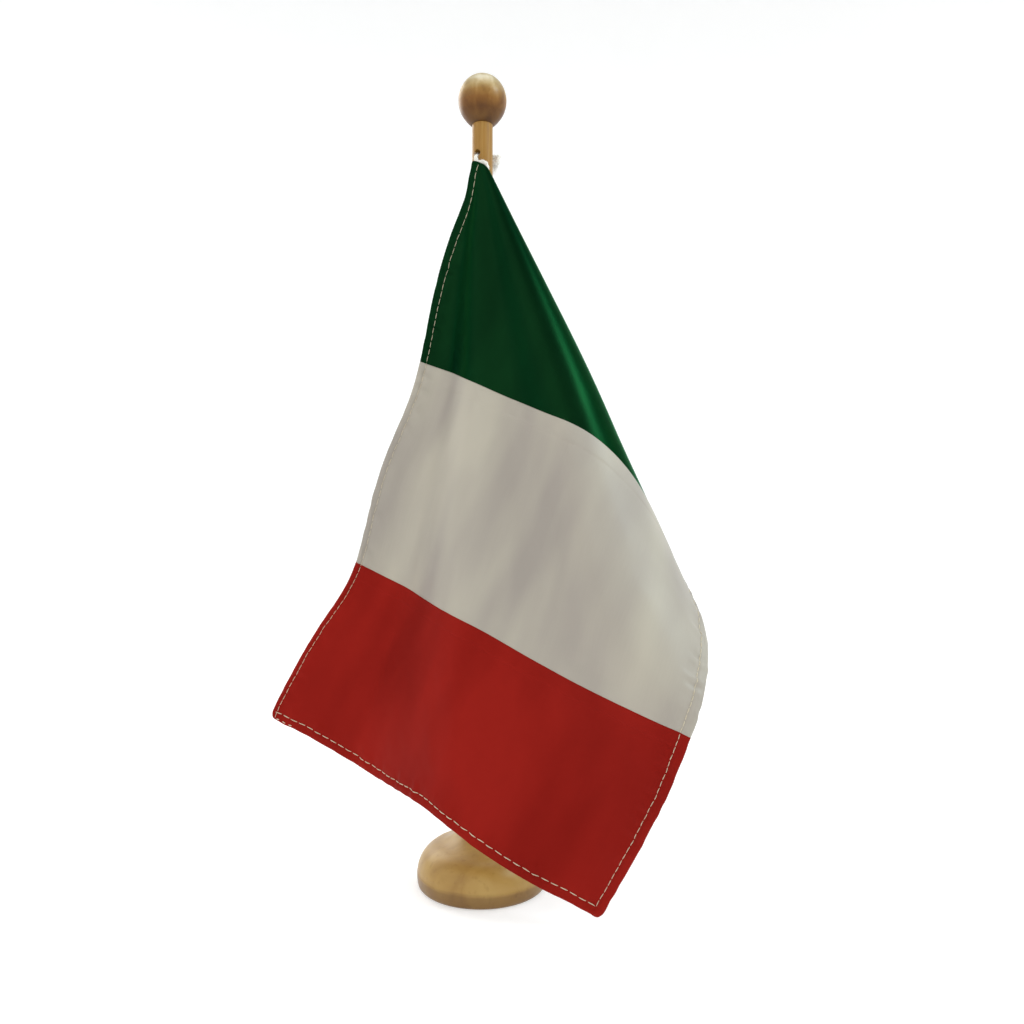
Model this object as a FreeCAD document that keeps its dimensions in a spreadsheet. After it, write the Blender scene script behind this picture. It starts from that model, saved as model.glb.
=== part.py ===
import FreeCAD, Part
import bisect
import math
import os

import Sketcher
from FreeCAD import Rotation, Vector

# Desk flag stand: a turned foot, a dowel pole with a ball, and a sewn flag tied to the pole.
# Millimetres, +Z up. The origin is the centre of the foot's underside; the front is -Y.

FALL_SAMPLES = 900       # steps that measure the angle along the cloth's fall
PATCH_SECTIONS = 41      # fold lines that shape each half of a stripe
THREAD_SECTIONS = 121    # points that shape each line of stitching

SIZES = [
    # foot, turned from one piece
    ("foot_radius", 22.8),
    ("rim_radius", 24.1),
    ("rim_height", 5.4),
    ("shoulder_radius", 15.0),
    ("shoulder_height", 14.2),
    ("shoulder_curve", 9.5),
    ("neck_radius", 5.6),
    ("neck_height", 24.2),
    ("neck_curve", 10.0),
    ("socket_radius", 3.9),
    ("socket_floor", 6.0),
    # pole
    ("pole_radius", 3.85),
    ("pole_top", 290.5),
    ("pole_chamfer", 0.6),
    ("tie_hole_radius", 1.3),
    ("tie_turn", -30.0),
    ("upper_hole_height", 270.7),
    ("lower_hole_height", 112.0),
    # ball on the pole's top
    ("ball_radius", 9.0),
    ("ball_half_height", 9.6),
    ("ball_centre", 291.3),
    ("ball_foot", 281.6),
    ("ball_foot_radius", 4.4),
    ("ball_taper_height", 3.2),
    ("ball_taper_radius", 7.2),
    # cord, its knots and the sleeve that it runs in
    ("cord_radius", 0.9),
    ("cord_reach", 5.5),
    ("cord_bend", 2.0),
    ("cord_corner_bend", 2.4),
    ("knot_radius", 2.2),
    ("knot_half_height", 2.3),
    ("knot_rise", 0.9),
    ("knot_reach", 6.2),
    ("knot_side", 1.3),
    ("tuft_radius", 1.9),
    ("tuft_length", 3.6),
    ("swing_side", 1.6),
    ("swing_fore", -5.4),
    ("sleeve_radius", 1.4),
    ("sleeve_bore", 1.15),
    ("sleeve_top", 259.0),
    ("sleeve_bottom", 121.5),
    ("sleeve_flap", 6.0),
    ("sleeve_flap_thickness", 0.4),
    ("sleeve_flap_drop", 28.0),
    # flag, cut flat and then draped from a point just above its top corner
    ("flag_length", 222.0),
    ("flag_height", 148.0),
    ("cloth_thickness", 0.5),
    ("hem_stitch_inset", 3.2),
    ("seam_stitch_inset", 1.2),
    ("thread_width", 0.4),
    ("thread_height", 0.25),
    ("sewn_gap", 0.1),
    ("gather", 5.0),
    ("apex_side", -1.0),
    ("apex_fore", -7.3),
    ("apex_height", 269.5),
]

# Cells worked out from the sizes.
DERIVED = [
    ("pole_end_radius", "=pole_radius - pole_chamfer"),
    ("chamfer_low", "=socket_floor + pole_chamfer"),
    ("chamfer_high", "=pole_top - pole_chamfer"),
]

# The cloth's fall, from the hoist round the fold to the fly: how far each fold line runs
# to the side and forward (negative) for each unit that it drops.
FALL = [
    ("hoist", -0.01, 0.0),
    ("back", 0.24, 0.0),
    ("turn_in", 0.45, 0.005),
    ("turn", 0.485, -0.10),
    ("turn_out", 0.44, -0.205),
    ("cheek", 0.305, -0.25),
    ("corner", 0.14, -0.13),
    ("belly", -0.03, -0.09),
    ("hollow", -0.20, 0.065),
    ("edge", -0.37, 0.09),
]

# Where the cloth leaves that fall. Each pull has a flat place (from the hoist and from the
# top hem), its reach both ways, and how far it moves the cloth to the side, back and up.
PULLS = [
    ("tip", 0, 0, 9, 10, -0.8, 0, 1.7),
    ("upper_edge", 13, 0, 10, 12, 0.8, 0, 0),
    ("green_seam_start", 74, 0, 28, 18, 0, 0, -1.6),
    ("green_seam_end", 74, 100, 36, 34, 0, 0, 2.7),
    ("green_edge", 88, 0, 34, 26, 6.0, 0, 0),
    ("white_edge", 152, 0, 30, 26, 5.5, 0, 0),
    ("fly_corner", 226, 0, 26, 40, -3.5, 0, 1.5),
    ("red_seam_start", 148, 10, 30, 20, 0, 0, -1.6),
    ("red_seam_high", 148, 20, 30, 60, 0, 0, -6.8),
    ("red_seam_middle", 148, 66, 36, 28, 0, 0, 2.1),
    ("red_seam_low", 148, 95, 30, 50, 0, 0, -2.8),
    ("fly_near", 222, 36, 26, 26, 0, 0, -4.2),
    ("fly_belly", 222, 88, 40, 26, 0, 2, 4.7),
    ("low_corner", 222, 152, 40, 36, 1.5, 4, 0),
    ("right_hem", 164, 150, 48, 34, 9.0, 0, 0),
    ("right_turn", 104, 150, 34, 30, -1.0, -2, -9),
    ("fold", 122, 106, 70, 30, -5.5, 0, 0),
]
PULL_VALUES = ("length", "height", "length_reach", "height_reach", "side", "fore", "up")


def make_sheet(doc):
    """The driving dimensions, one named cell each."""
    sheet = doc.addObject("Spreadsheet::Sheet", "Dims")
    cells = list(SIZES)
    for name, side, fore in FALL:
        cells.append(("fall_" + name + "_side", side))
        cells.append(("fall_" + name + "_fore", fore))
    for name, *values in PULLS:
        for what, value in zip(PULL_VALUES, values):
            cells.append(("pull_" + name + "_" + what, value))
    cells += DERIVED
    for row, (alias, value) in enumerate(cells, start=1):
        sheet.set("A%d" % row, alias)
        sheet.set("B%d" % row, str(value))
        sheet.setAlias("B%d" % row, alias)
    doc.recompute()
    return sheet


# ---------------------------------------------------------------- sketches

def new_body(doc, label):
    body = doc.addObject("PartDesign::Body", label)
    body.Label = label
    return body


def new_sketch(body, role, name):
    sketch = body.newObject("Sketcher::SketchObject", name)
    plane = [f for f in body.Origin.OriginFeatures if f.Role == role][0]
    sketch.AttachmentSupport = (plane, [""])
    sketch.MapMode = "FlatFace"
    return sketch


def drive(sketch, index, cell):
    """Binds a sketch constraint to a cell of the sheet."""
    name = "c%d" % index
    sketch.renameConstraint(index, name)
    sketch.setExpression("Constraints." + name, "Dims." + cell)


def pin_point(sketch, sheet, geometry, end, side, height):
    """Fixes a point of the outline. side and height are cell names, or None on an axis."""
    if side is None:
        sketch.addConstraint(Sketcher.Constraint("PointOnObject", geometry, end, -2))
    else:
        value = getattr(sheet, side)
        c = Sketcher.Constraint("DistanceX", -1, 1, geometry, end, value)
        drive(sketch, sketch.addConstraint(c), side)
    if height is None:
        sketch.addConstraint(Sketcher.Constraint("PointOnObject", geometry, end, -1))
    else:
        value = getattr(sheet, height)
        c = Sketcher.Constraint("DistanceY", -1, 1, geometry, end, value)
        drive(sketch, sketch.addConstraint(c), height)


def arc_through(start, end, radius, bulge):
    """Arc from start to end that bulges to the right (+1) or the left (-1) of the way along."""
    chord = end - start
    half = chord.Length / 2
    sagitta = radius - math.sqrt(radius * radius - half * half)
    outward = Vector(chord.y, -chord.x, 0).normalize() * bulge
    return Part.Arc(start, (start + end) / 2 + outward * sagitta, end)


def outline(sketch, sheet, corners, curves):
    """Closed outline through corners. curves maps a corner's number to the (cell, bulge)
    of an arc that leaves it; every other edge is straight."""
    def place(corner):
        side, height = corner
        x = 0.0 if side is None else getattr(sheet, side)
        y = 0.0 if height is None else getattr(sheet, height)
        return Vector(x, y, 0)

    count = len(corners)
    ends = []
    for i, corner in enumerate(corners):
        start, end = place(corner), place(corners[(i + 1) % count])
        if i in curves:
            cell, bulge = curves[i]
            arc = arc_through(start, end, getattr(sheet, cell), bulge)
            geometry = sketch.addGeometry(arc, False)
            forward = sketch.getPoint(geometry, 1).distanceToPoint(start) < 1e-6
            ends.append((geometry, 1, 2) if forward else (geometry, 2, 1))
            c = Sketcher.Constraint("Radius", geometry, getattr(sheet, cell))
            drive(sketch, sketch.addConstraint(c), cell)
        else:
            geometry = sketch.addGeometry(Part.LineSegment(start, end), False)
            ends.append((geometry, 1, 2))
    for i, corner in enumerate(corners):
        geometry, first, last = ends[i]
        following, first_of_following, _ = ends[(i + 1) % count]
        c = Sketcher.Constraint("Coincident", geometry, last, following, first_of_following)
        sketch.addConstraint(c)
        pin_point(sketch, sheet, geometry, first, *corner)


def turn(body, sketch):
    """A full turn of the outline about the upright axis."""
    feature = body.newObject("PartDesign::Revolution", "Turned")
    feature.Profile = sketch
    feature.ReferenceAxis = (sketch, ["V_Axis"])
    feature.Angle = 360.0
    return feature


# ---------------------------------------------------------------- wooden parts

def make_foot(doc, sheet):
    """Turned foot: a tapered rim with a crisp edge, a round shoulder and a hollow neck."""
    body = new_body(doc, "base_foot")
    corners = [
        (None, None),
        ("foot_radius", None),
        ("rim_radius", "rim_height"),
        ("shoulder_radius", "shoulder_height"),
        ("neck_radius", "neck_height"),
        (None, "neck_height"),
    ]
    profile = new_sketch(body, "XZ_Plane", "FootProfile")
    outline(profile, sheet, corners, {2: ("shoulder_curve", 1), 3: ("neck_curve", -1)})
    turn(body, profile)
    doc.recompute()
    solid_volume = body.Shape.Volume

    mouth = new_sketch(body, "XY_Plane", "SocketMouth")
    mouth.setExpression(".AttachmentOffset.Base.z", "Dims.neck_height")
    circle = mouth.addGeometry(Part.Circle(Vector(), Vector(0, 0, 1), sheet.socket_radius), False)
    mouth.addConstraint(Sketcher.Constraint("Coincident", circle, 3, -1, 1))
    c = Sketcher.Constraint("Radius", circle, sheet.socket_radius)
    drive(mouth, mouth.addConstraint(c), "socket_radius")
    socket = body.newObject("PartDesign::Pocket", "Socket")
    socket.Profile = mouth
    socket.setExpression("Length", "Dims.neck_height - Dims.socket_floor")
    doc.recompute()
    if body.Shape.Volume > solid_volume - 100:
        raise RuntimeError("the socket cut nothing")
    return body


def drill(body, sheet, name, height):
    """A cross hole right through the pole."""
    sketch = new_sketch(body, "XZ_Plane", name + "Circle")
    centre = Vector(0, getattr(sheet, height), 0)
    circle = sketch.addGeometry(Part.Circle(centre, Vector(0, 0, 1), sheet.tie_hole_radius), False)
    pin_point(sketch, sheet, circle, 3, None, height)
    c = Sketcher.Constraint("Radius", circle, sheet.tie_hole_radius)
    drive(sketch, sketch.addConstraint(c), "tie_hole_radius")
    hole = body.newObject("PartDesign::Pocket", name)
    hole.Profile = sketch
    hole.Type = "ThroughAll"
    hole.Midplane = True
    return hole


def make_pole(doc, sheet):
    """Dowel with chamfered ends and two cross holes for the cord."""
    body = new_body(doc, "pole")
    corners = [
        (None, "socket_floor"),
        ("pole_end_radius", "socket_floor"),
        ("pole_radius", "chamfer_low"),
        ("pole_radius", "chamfer_high"),
        ("pole_end_radius", "pole_top"),
        (None, "pole_top"),
    ]
    profile = new_sketch(body, "XZ_Plane", "PoleProfile")
    outline(profile, sheet, corners, {})
    turn(body, profile)
    doc.recompute()
    whole = body.Shape.Volume
    drill(body, sheet, "UpperHole", "upper_hole_height")
    drill(body, sheet, "LowerHole", "lower_hole_height")
    body.Placement = FreeCAD.Placement(Vector(), Rotation(Vector(0, 0, 1), sheet.tie_turn))
    doc.recompute()
    if body.Shape.Volume > whole - 60:
        raise RuntimeError("the cross holes cut nothing")
    return body


def make_ball(doc, sheet):
    """Slightly tall ball with a short taper under it and a blind bore for the pole."""
    ball = doc.addObject("Part::Ellipsoid", "BallForm")
    ball.setExpression("Radius1", "Dims.ball_half_height")
    ball.setExpression("Radius2", "Dims.ball_radius")
    ball.setExpression("Radius3", "Dims.ball_radius")
    ball.setExpression(".Placement.Base.z", "Dims.ball_centre")
    taper = doc.addObject("Part::Cone", "BallTaper")
    taper.setExpression("Radius1", "Dims.ball_foot_radius")
    taper.setExpression("Radius2", "Dims.ball_taper_radius")
    taper.setExpression("Height", "Dims.ball_taper_height")
    taper.setExpression(".Placement.Base.z", "Dims.ball_foot")
    whole = doc.addObject("Part::Fuse", "BallWhole")
    whole.Base = ball
    whole.Tool = taper
    bore = doc.addObject("Part::Cylinder", "BallBore")
    bore.setExpression("Radius", "Dims.pole_radius")
    bore.setExpression("Height", "Dims.pole_top - Dims.ball_foot + 1")
    bore.setExpression(".Placement.Base.z", "Dims.ball_foot - 1")
    cut = doc.addObject("Part::Cut", "finial_ball")
    cut.Base = whole
    cut.Tool = bore
    cut.Label = "finial_ball"
    return cut


# ---------------------------------------------------------------- cord, knots and sleeve

def rounded_path(points, bends):
    """One wire of straight runs joined by tangent arcs of the given radii."""
    edges = []
    start = points[0]
    for i, radius in enumerate(bends, start=1):
        into = (points[i] - points[i - 1]).normalize()
        out = (points[i + 1] - points[i]).normalize()
        half_turn = into.getAngle(out) / 2
        back = radius * math.tan(half_turn)
        arc_start = points[i] - into * back
        arc_end = points[i] + out * back
        inward = (out - into).normalize()
        middle = points[i] + inward * (radius / math.cos(half_turn) - radius)
        if (arc_start - start).Length > 1e-6:
            edges.append(Part.LineSegment(start, arc_start).toShape())
        edges.append(Part.Arc(arc_start, middle, arc_end).toShape())
        start = arc_end
    edges.append(Part.LineSegment(start, points[-1]).toShape())
    return Part.Wire(edges)


def round_tube(path, radius):
    """Solid round tube along a wire."""
    first = path.Edges[0]
    start = first.valueAt(first.FirstParameter)
    tangent = first.tangentAt(first.FirstParameter)
    section = Part.Wire([Part.Circle(start, tangent, radius).toShape()])
    return path.makePipeShell([section], True, True)


def hole_direction(sheet):
    """Unit vector out of the front mouth of the cross holes."""
    angle = math.radians(sheet.tie_turn)
    return Vector(math.sin(angle), -math.cos(angle), 0)


def cord_points(sheet):
    """Through the upper hole, down the sleeve's middle, and through the lower hole."""
    out = hole_direction(sheet)
    top = Vector(0, 0, sheet.upper_hole_height)
    low = Vector(0, 0, sheet.lower_hole_height)
    axis_top = Vector(sheet.swing_side, sheet.swing_fore, sheet.upper_hole_height - 7)
    axis_low = Vector(sheet.swing_side, sheet.swing_fore, sheet.lower_hole_height + 7)
    return [
        top - out * sheet.knot_reach,
        top + out * sheet.cord_reach,
        axis_top,
        axis_low,
        low + out * sheet.cord_reach,
        low - out * sheet.knot_reach,
    ]


def make_cord(doc, sheet):
    """The cord, whole, from one knot to the other."""
    feature = doc.addObject("Part::Feature", "hoist_cord")
    corner = sheet.cord_corner_bend
    bends = [sheet.cord_bend, corner, corner, sheet.cord_bend]
    path = rounded_path(cord_points(sheet), bends)
    feature.Shape = round_tube(path, sheet.cord_radius)
    expected = math.pi * sheet.cord_radius ** 2 * path.Length
    print("cord length %.1f, volume ratio %.4f" % (path.Length, feature.Shape.Volume / expected))
    return feature


def make_knot(doc, sheet, label, height):
    """A knot behind a cross hole, with the cord's frayed end hanging out of it."""
    knot = doc.addObject("Part::Ellipsoid", label + "_ball")
    knot.setExpression("Radius1", "Dims.knot_half_height")
    knot.setExpression("Radius2", "Dims.knot_radius")
    knot.setExpression("Radius3", "Dims.knot_radius")
    tuft = doc.addObject("Part::Cone", label + "_tuft")
    tuft.setExpression("Radius1", "Dims.tuft_radius")
    tuft.setExpression("Radius2", "Dims.cord_radius")
    tuft.setExpression("Height", "Dims.tuft_length + Dims.knot_radius / 2")
    whole = doc.addObject("Part::Fuse", label)
    whole.Base = knot
    whole.Tool = tuft
    for piece, drop in ((knot, "0"), (tuft, "(Dims.tuft_length + Dims.knot_radius / 2)")):
        piece.setExpression(
            ".Placement.Base.x",
            "Dims.knot_side - Dims.knot_reach * sin(Dims.tie_turn * 1 deg)")
        piece.setExpression(".Placement.Base.y", "Dims.knot_reach * cos(Dims.tie_turn * 1 deg)")
        piece.setExpression(".Placement.Base.z", "Dims.%s + Dims.knot_rise - %s" % (height, drop))
    whole.Label = label
    return whole


def make_sleeve(doc, sheet):
    """Narrow tube of folded tape round the cord, with the flap that the flag is sewn to."""
    tube = doc.addObject("Part::Cylinder", "SleeveTube")
    tube.setExpression("Radius", "Dims.sleeve_radius")
    flap = doc.addObject("Part::Box", "SleeveFlap")
    flap.setExpression("Length", "Dims.sleeve_flap")
    flap.setExpression("Width", "Dims.sleeve_flap_thickness")
    flap.setExpression(
        ".Placement.Base.y", "Dims.apex_fore + Dims.cloth_thickness / 2 + Dims.sewn_gap")
    whole = doc.addObject("Part::Fuse", "SleeveWhole")
    whole.Base = tube
    whole.Tool = flap
    bore = doc.addObject("Part::Cylinder", "SleeveBore")
    bore.setExpression("Radius", "Dims.sleeve_bore")
    sleeve = doc.addObject("Part::Cut", "hoist_sleeve")
    sleeve.Base = whole
    sleeve.Tool = bore
    for piece in (tube, flap, bore):
        piece.setExpression("Height", "Dims.sleeve_top - Dims.sleeve_bottom")
        piece.setExpression(".Placement.Base.x", "Dims.swing_side")
        piece.setExpression(".Placement.Base.z", "Dims.sleeve_bottom")
    for piece in (tube, bore):
        piece.setExpression(".Placement.Base.y", "Dims.swing_fore")
    flap.setExpression("Height", "Dims.sleeve_top - Dims.sleeve_bottom - Dims.sleeve_flap_drop")
    sleeve.Label = "hoist_sleeve"
    return sleeve


# ---------------------------------------------------------------- draped flag

class Drape:
    """The flag hung from one corner. Its fold lines all meet at the apex, so the cloth is
    bent and hardly stretched: a point keeps its flat distance from the apex, give or take
    the pulls. The pulls act at the seams and hems, and the cloth runs straight between."""

    def __init__(self, sheet):
        self.gather = sheet.gather
        self.stripe = sheet.flag_length / 3
        self.height = sheet.flag_height
        self.apex = Vector(sheet.apex_side, sheet.apex_fore, sheet.apex_height)
        self.pulls = []
        for name, *_ in PULLS:
            self.pulls.append([getattr(sheet, "pull_%s_%s" % (name, w)) for w in PULL_VALUES])
        knots = []
        for name, _, _ in FALL:
            side = getattr(sheet, "fall_" + name + "_side")
            fore = getattr(sheet, "fall_" + name + "_fore")
            knots.append(Vector(side, fore, -1))
        fall = Part.BSplineCurve()
        fall.interpolate(knots)
        first, last = fall.FirstParameter, fall.LastParameter
        self.rays = []
        for i in range(FALL_SAMPLES + 1):
            ray = fall.value(first + (last - first) * i / FALL_SAMPLES)
            self.rays.append(ray.normalize())
        self.turned = [0.0]
        for before, after in zip(self.rays, self.rays[1:]):
            self.turned.append(self.turned[-1] + before.getAngle(after))
        print("the fall turns through %.2f degrees of 90" % math.degrees(self.turned[-1]))

    def ray(self, angle):
        """Direction from the apex of the fold line at a flat angle, 0 along the top hem."""
        goal = self.turned[-1] * (1 - angle / (math.pi / 2))
        goal = min(max(goal, 0.0), self.turned[-1])
        i = min(max(bisect.bisect_left(self.turned, goal), 1), FALL_SAMPLES)
        share = (goal - self.turned[i - 1]) / (self.turned[i] - self.turned[i - 1])
        return (self.rays[i - 1] * (1 - share) + self.rays[i] * share).normalize()

    def normal(self, angle):
        """The cloth's outer side along that fold line."""
        step = math.radians(0.5)
        along = self.ray(angle + step) - self.ray(angle - step)
        return self.ray(angle).cross(along).normalize()

    def pulled(self, angle, distance):
        """A point of a fold line where it crosses a seam or a hem."""
        point = self.apex + self.ray(angle) * distance
        length = distance * math.cos(angle) - self.gather
        height = distance * math.sin(angle)
        for at_length, at_height, reach, high_reach, side, fore, up in self.pulls:
            off = ((length - at_length) / reach) ** 2 + ((height - at_height) / high_reach) ** 2
            point += Vector(side, fore, up) * math.exp(-off)
        return point

    def crossings(self, angle):
        """Distances from the apex where a fold line meets the hoist, the seams and the hem."""
        end = self.height / math.sin(angle) if angle > 0 else math.inf
        return [min((self.stripe * i + self.gather) / math.cos(angle), end) for i in range(4)]

    def on_line(self, angle, distance, lift):
        marks = self.crossings(angle)
        i = 1
        while i < 3 and distance > marks[i] and marks[i + 1] > marks[i]:
            i += 1
        share = (distance - marks[i - 1]) / (marks[i] - marks[i - 1])
        near = self.pulled(angle, marks[i - 1])
        far = self.pulled(angle, marks[i])
        return near * (1 - share) + far * share + self.normal(angle) * lift

    def place(self, length, height, lift):
        """A point of the cloth from its flat position, lifted off the cloth's middle."""
        side = length + self.gather
        return self.on_line(math.atan2(height, side), math.hypot(side, height), lift)


def ruled_face(first, second):
    """Face of straight lines between two rails with the same number of points."""
    curves = []
    for points in (first, second):
        curve = Part.BSplineCurve()
        curve.interpolate(Points=points, Parameters=[float(i) for i in range(len(points))])
        curves.append(curve)
    degree = curves[0].Degree
    poles = [list(pair) for pair in zip(curves[0].getPoles(), curves[1].getPoles())]
    surface = Part.BSplineSurface()
    surface.buildFromPolesMultsKnots(
        poles, curves[0].getMultiplicities(), [2, 2], curves[0].getKnots(), [0.0, 1.0],
        False, False, degree, 1)
    return surface.toShape()


def cap_face(corners):
    near = Part.LineSegment(corners[0], corners[1]).toShape()
    far = Part.LineSegment(corners[3], corners[2]).toShape()
    return Part.makeRuledSurface(near, far)


def banded_solid(bands):
    """Closed solid of one or more bands end to end. A band is four rails, each a list of
    points; only the first band's start and the last band's end are capped."""
    faces = []
    for rails in bands:
        for i in range(4):
            faces.append(ruled_face(rails[i], rails[(i + 1) % 4]))
    faces.append(cap_face([points[0] for points in bands[0]]))
    faces.append(cap_face([points[-1] for points in bands[-1]]))
    shell = Part.Shell(faces)
    shell.sewShape()
    solid = Part.Solid(shell)
    return solid if solid.Volume > 0 else solid.reversed()


def make_panel(doc, sheet, drape, label, first, last):
    """One stripe of the flag, between two distances from the hoist."""
    near_side = first + drape.gather
    far_side = last + drape.gather
    height = sheet.flag_height
    corner_line = math.atan2(height, far_side)
    tip_line = math.atan2(height, near_side)
    last_line = corner_line + (tip_line - corner_line) * 0.985

    def near(angle):
        return near_side / math.cos(angle)

    def far(angle):
        return far_side / math.cos(angle) if angle < corner_line else height / math.sin(angle)

    def band(low_angle, high_angle):
        rails = []
        for side, distance in ((-1, near), (-1, far), (1, far), (1, near)):
            rail = []
            for i in range(PATCH_SECTIONS):
                angle = low_angle + (high_angle - low_angle) * i / (PATCH_SECTIONS - 1)
                lift = side * sheet.cloth_thickness / 2
                rail.append(drape.on_line(angle, distance(angle), lift))
            rails.append(rail)
        return rails

    feature = doc.addObject("Part::Feature", label)
    feature.Shape = banded_solid([band(0.0, corner_line), band(corner_line, last_line)])
    return feature


def make_thread(doc, sheet, drape, label, start, end, outer=True):
    """A line of stitching laid on the cloth between two flat points."""
    along = Vector(end[0] - start[0], end[1] - start[1], 0).normalize()
    across = Vector(-along.y, along.x, 0) * (sheet.thread_width / 2)
    base = sheet.cloth_thickness / 2 + sheet.sewn_gap
    lifts = (base, base + sheet.thread_height)
    if not outer:
        lifts = (-lifts[1], -lifts[0])
    rails = []
    for side, lift in ((-1, lifts[0]), (1, lifts[0]), (1, lifts[1]), (-1, lifts[1])):
        rail = []
        for i in range(THREAD_SECTIONS):
            share = i / (THREAD_SECTIONS - 1)
            length = start[0] + (end[0] - start[0]) * share + across.x * side
            height = start[1] + (end[1] - start[1]) * share + across.y * side
            rail.append(drape.place(length, height, lift))
        rails.append(rail)
    feature = doc.addObject("Part::Feature", label)
    feature.Shape = banded_solid([rails])
    return feature


def make_flag(doc, sheet):
    """Three stripes and every line of stitching."""
    drape = Drape(sheet)
    stripe = sheet.flag_length / 3
    length = sheet.flag_length
    height = sheet.flag_height
    hem = sheet.hem_stitch_inset
    inset = sheet.seam_stitch_inset
    parts = []
    for i, label in enumerate(("green_panel", "white_panel", "red_panel")):
        parts.append(make_panel(doc, sheet, drape, label, stripe * i, stripe * (i + 1)))
    lines = [
        ("top_hem_thread", (hem, hem), (length - hem, hem), True),
        ("bottom_hem_thread", (hem, height - hem), (length - hem, height - hem), True),
        ("fly_hem_thread", (length - hem, hem + 1), (length - hem, height - hem - 1), True),
        ("hoist_thread", (hem, 3 * hem), (hem, height - hem - 1), False),
        ("green_seam_thread", (stripe + inset, hem + 1), (stripe + inset, height - hem - 1), False),
        ("red_seam_thread", (2 * stripe + inset, hem + 1), (2 * stripe + inset, height - hem - 1),
         False),
    ]
    for label, start, end, outer in lines:
        parts.append(make_thread(doc, sheet, drape, label, start, end, outer))
    return parts


# ---------------------------------------------------------------- checks and export

def check(doc, parts):
    for item in doc.Objects:
        if "Invalid" in item.State or "Error" in item.State:
            raise RuntimeError("%s did not compute" % item.Label)
    for part in parts:
        if part.Shape.isNull() or not part.Shape.isValid() or not part.Shape.Solids:
            raise RuntimeError("%s has no valid solid" % part.Label)


def export(parts):
    os.makedirs("parts", exist_ok=True)
    for part in parts:
        part.Shape.exportStep("parts/%s.step" % part.Label)
        box = part.Shape.BoundBox
        print("%-18s %2d solids %9.1f mm3  x %.1f %.1f  y %.1f %.1f  z %.1f %.1f" % (
            part.Label, len(part.Shape.Solids), part.Shape.Volume,
            box.XMin, box.XMax, box.YMin, box.YMax, box.ZMin, box.ZMax))


def main():
    doc = FreeCAD.newDocument("DeskFlagStand")
    sheet = make_sheet(doc)
    parts = [make_foot(doc, sheet), make_pole(doc, sheet), make_ball(doc, sheet)]
    parts.append(make_cord(doc, sheet))
    parts.append(make_knot(doc, sheet, "upper_knot", "upper_hole_height"))
    parts.append(make_knot(doc, sheet, "lower_knot", "lower_hole_height"))
    parts.append(make_sleeve(doc, sheet))
    parts.extend(make_flag(doc, sheet))
    doc.recompute()
    check(doc, parts)
    export(parts)


main()
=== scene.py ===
"""Desk flag stand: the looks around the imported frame. Lengths are in millimetres until a
mesh is made, and +Z is up. The front of the object faces -Y."""

import math

import bpy
import numpy as np
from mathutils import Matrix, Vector

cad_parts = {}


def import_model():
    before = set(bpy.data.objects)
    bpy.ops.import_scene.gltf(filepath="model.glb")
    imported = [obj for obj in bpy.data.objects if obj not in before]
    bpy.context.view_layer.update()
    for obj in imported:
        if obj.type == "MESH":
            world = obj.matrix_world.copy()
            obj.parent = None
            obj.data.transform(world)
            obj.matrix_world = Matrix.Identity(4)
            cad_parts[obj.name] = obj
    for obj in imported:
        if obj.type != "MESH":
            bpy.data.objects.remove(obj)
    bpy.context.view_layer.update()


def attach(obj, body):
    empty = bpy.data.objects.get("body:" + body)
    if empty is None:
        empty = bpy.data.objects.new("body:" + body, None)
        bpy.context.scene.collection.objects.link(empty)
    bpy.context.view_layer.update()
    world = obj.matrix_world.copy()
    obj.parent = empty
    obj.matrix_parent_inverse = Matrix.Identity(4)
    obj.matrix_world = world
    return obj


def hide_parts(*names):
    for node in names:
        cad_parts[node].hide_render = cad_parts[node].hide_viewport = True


MM = 0.001
SEED = 7

# ------ sizes of the flag

LENGTH = 222.0
HEIGHT = 148.0
STRIPE = LENGTH / 3
GATHER = 5.0
APEX = (-1.0, -7.3, 269.5)
# How far each fold line runs to the side and forward (negative) for each unit it drops,
# from the hoist round the fold to the top hem.
FALL = [
    (-0.01, 0.0),
    (0.24, 0.0),
    (0.45, 0.005),
    (0.485, -0.10),
    (0.44, -0.205),
    (0.305, -0.25),
    (0.14, -0.13),
    (-0.03, -0.09),
    (-0.20, 0.065),
    (-0.37, 0.09),
]
# Where the cloth leaves that fall: flat place, reach both ways, and the move it makes.
PULLS = [
    (0, 0, 9, 10, (-0.8, 0, 1.7)),
    (13, 0, 10, 12, (0.8, 0, 0)),
    (74, 0, 28, 18, (0, 0, -1.6)),
    (74, 100, 36, 34, (0, 0, 2.7)),
    (88, 0, 34, 26, (6.0, 0, 0)),
    (152, 0, 30, 26, (5.5, 0, 0)),
    (226, 0, 26, 40, (-3.5, 0, 1.5)),
    (148, 10, 30, 20, (0, 0, -1.6)),
    (148, 20, 30, 60, (0, 0, -6.8)),
    (148, 66, 36, 28, (0, 0, 2.1)),
    (148, 95, 30, 50, (0, 0, -2.8)),
    (222, 36, 26, 26, (0, 0, -4.2)),
    (222, 88, 40, 26, (0, 2, 4.7)),
    (222, 152, 40, 36, (1.5, 4, 0)),
    (164, 150, 48, 34, (9.0, 0, 0)),
    (104, 150, 34, 30, (-1.0, -2, -9)),
    (122, 106, 70, 30, (-5.5, 0, 0)),
]

CLOTH = 0.42            # thickness of one layer
HEM = 3.2               # stitch line to edge
TOP_TAPER = 1.5         # how much narrower the top hem gets toward the outer edge
SEAM_STEP = 0.16        # how far a seam's later stripe stands proud of the one before
HEM_FOLD = 4.5          # width of the turned hem on the inside
HEM_EXTRA = 0.5         # the hem's folded layers, on the inside
ALLOWANCE = 5.5         # width of the seam allowance
PITCH = 3.2             # one stitch and its gap
GRID = 0.9              # step of the cloth's mesh
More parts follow.
